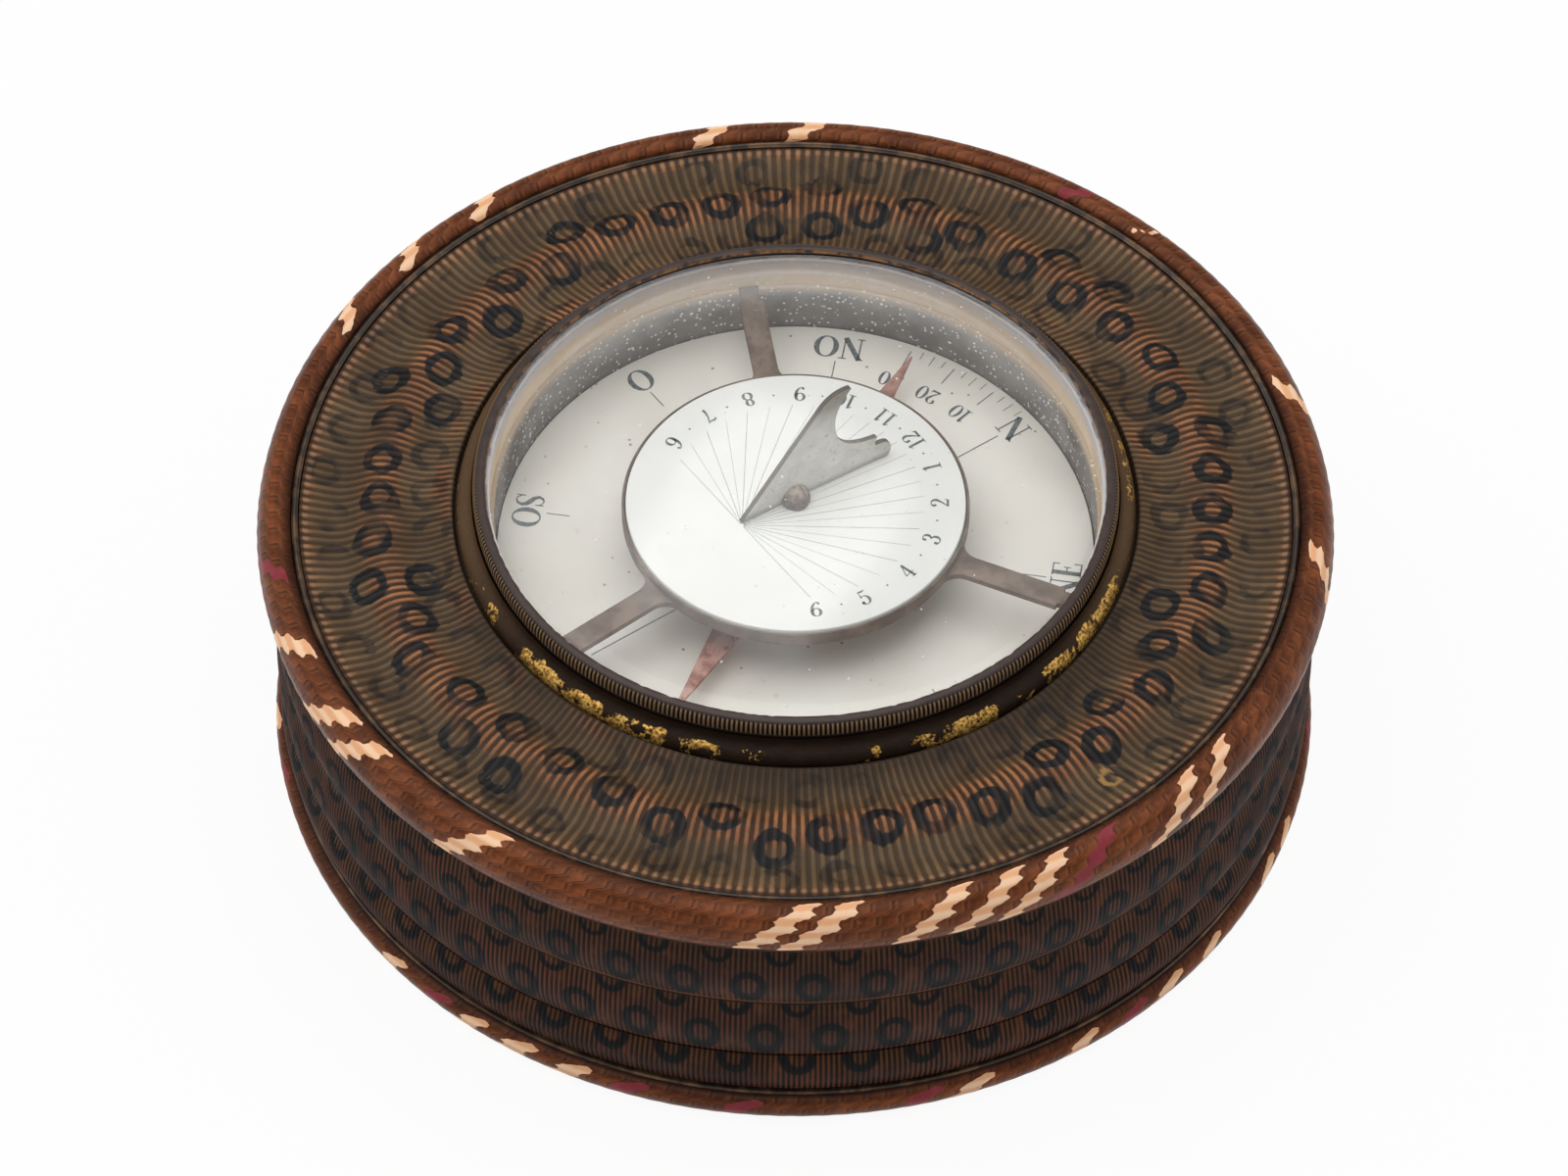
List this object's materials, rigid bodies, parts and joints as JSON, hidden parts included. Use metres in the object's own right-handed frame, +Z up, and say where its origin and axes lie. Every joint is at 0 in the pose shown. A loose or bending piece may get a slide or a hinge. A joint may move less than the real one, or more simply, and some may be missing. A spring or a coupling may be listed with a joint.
{
  "type": "pocket compass and sundial in a round box",
  "caption": "Round ridged tortoiseshell box whose lift-off lid holds a domed glass, a three-armed fixed sundial with a shadow plate, a compass card and a free magnetic needle.",
  "frame": {"origin": "centre of the underside of the case, on the surface it rests on", "axes": "+Z up along the case's turned axis, -Y towards the viewer of the picture, +X to the viewer's right"},
  "size_m": [0.084, 0.084, 0.0369],
  "materials": {
    "tortoiseshell": "machine-turned dark tortoiseshell, polished and worn",
    "ridged_shell": "machine-turned dark tortoiseshell with a greenish sheen",
    "striped_shell": "polished red-brown shell with cream stripes",
    "pale_shell": "plain satin shell lining",
    "gilding": "worn gilding over brown ground",
    "dark_brass": "darkened milled brass",
    "glass": "clear domed glass with dust",
    "grey_wall": "matt grey paint",
    "cream_ring": "cream horn, satin",
    "card": "matt off-white paper with foxing",
    "enamel": "white fired enamel with fine cracks",
    "grey_metal": "dull silvered brass, browned",
    "silvered_plate": "dull silvered brass",
    "solder": "brown tarnished solder",
    "rusted_steel": "rust-brown blued steel",
    "steel": "bright hardened steel",
    "agate": "polished red agate"
  },
  "bodies": {
    "base": {"base_shell": "tortoiseshell", "base_bead": "striped_shell", "base_string": "gilding", "compartment_lining": "pale_shell"},
    "lid": {"lid_shell": "tortoiseshell", "ceiling_lining": "pale_shell", "lid_bead": "striped_shell", "lid_string": "gilding", "ridged_flange": "ridged_shell", "gilt_ring": "gilding", "well_wall": "grey_wall", "card_backing": "card", "compass_card": "card", "glass_seat_ring": "cream_ring", "glass_dome": "glass", "milled_bezel": "dark_brass", "dial_carrier": "grey_metal", "sundial_plate": "enamel", "gnomon_boss": "solder", "boss_washer": "grey_metal", "gnomon": "silvered_plate", "pivot_foot": "dark_brass", "pivot_pin": "steel"},
    "needle": {"needle_blade": "rusted_steel", "needle_cap": "dark_brass", "needle_jewel": "agate"}
  },
  "joints": [
    {"name": "lid_lift", "type": "slide", "parent": "base", "child": "lid", "axis": [0, 0, 1], "range_m": [0, 0.03]},
    {"name": "needle_swing", "type": "hinge", "parent": "lid", "child": "needle", "pos_m": [0, 0, 0.0218], "axis": [0, 0, 1], "continuous": true}
  ]
}
